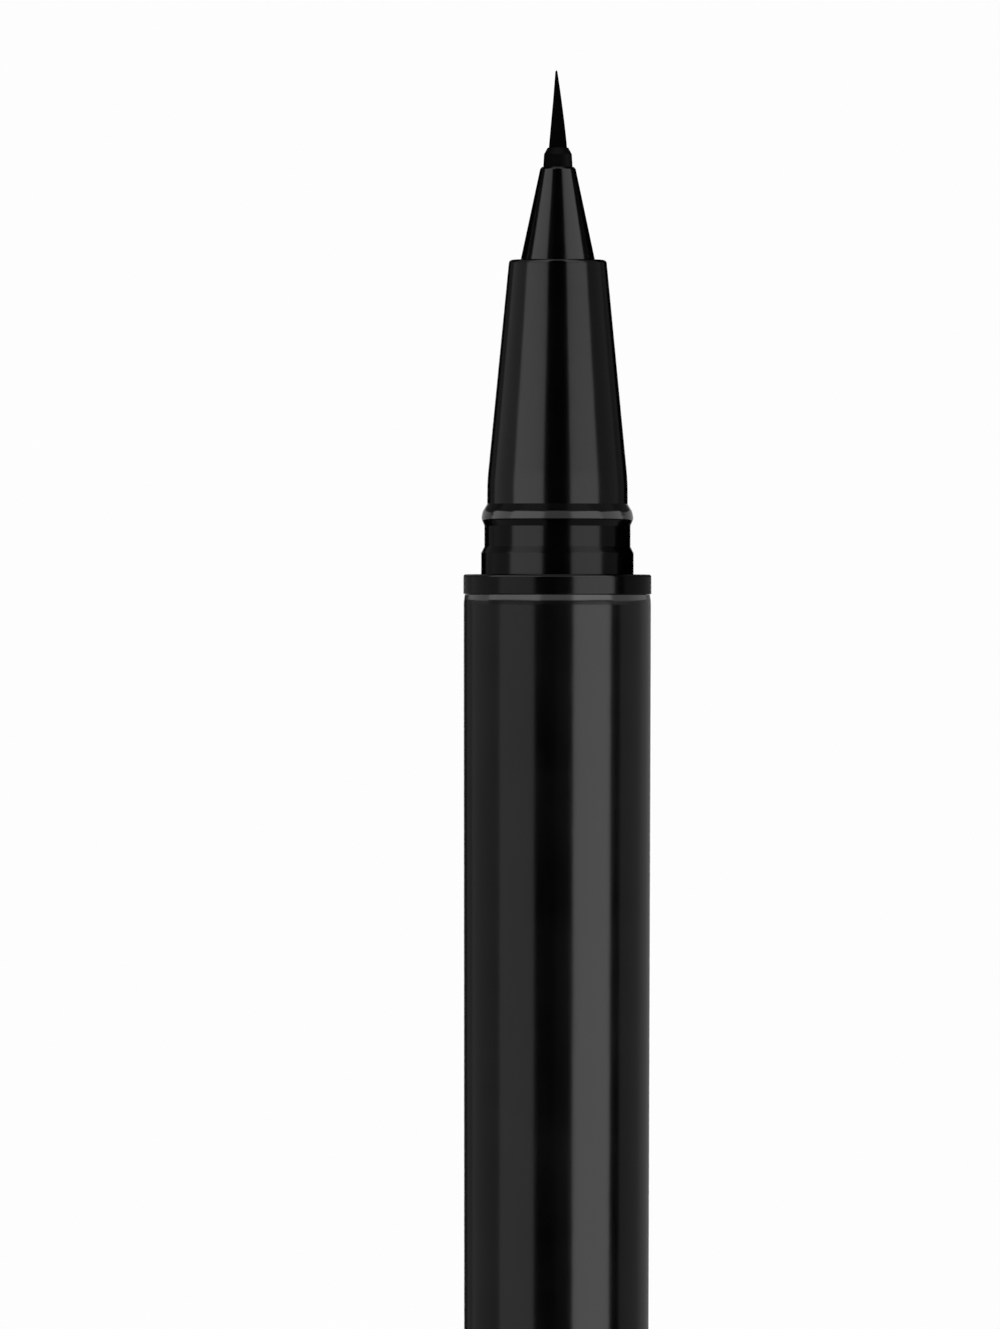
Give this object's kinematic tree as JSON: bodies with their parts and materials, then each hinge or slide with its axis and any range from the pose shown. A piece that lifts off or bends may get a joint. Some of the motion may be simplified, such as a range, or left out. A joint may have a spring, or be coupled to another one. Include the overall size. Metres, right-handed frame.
{
  "type": "liquid eyeliner pen",
  "caption": "Slim round liquid eyeliner pen without its cap: fine pointed brush, narrow cone, tapered grip with cap bead, and a straight ink barrel.",
  "frame": {"origin": "centre of the flat foot of the tail plug, on the surface that the pen stands on", "axes": "+Z along the pen's axis, from the tail to the point of the brush; +X and +Y are alike, because the pen is round"},
  "size_m": [0.011, 0.011, 0.1276],
  "materials": {
    "barrel_shell": "moulded gloss black",
    "front_shell": "moulded gloss black",
    "nozzle_shell": "moulded gloss black",
    "holder_shell": "satin black",
    "bristle": "tapered black filament, wet with ink",
    "fibre_rod": "bonded fibre, inked",
    "collector_resin": "moulded natural resin",
    "tank_resin": "moulded natural polypropylene",
    "plug_resin": "moulded grey polyethylene",
    "ball_steel": "polished bearing ball"
  },
  "bodies": {
    "pen": {"barrel": "barrel_shell", "tail_plug": "barrel_shell", "front_section": "front_shell", "nozzle_cone": "nozzle_shell", "tuft_holder": "holder_shell", "bristle_tuft": "bristle", "feed_core": "fibre_rod", "collector": "collector_resin", "ink_tank": "tank_resin", "tank_plug": "plug_resin"},
    "ball": {"mixing_ball": "ball_steel"}
  },
  "joints": [
    {"name": "ball_slide", "type": "slide", "parent": "pen", "child": "ball", "axis": [0, 0, 1], "range_m": [0, 0.065]}
  ]
}
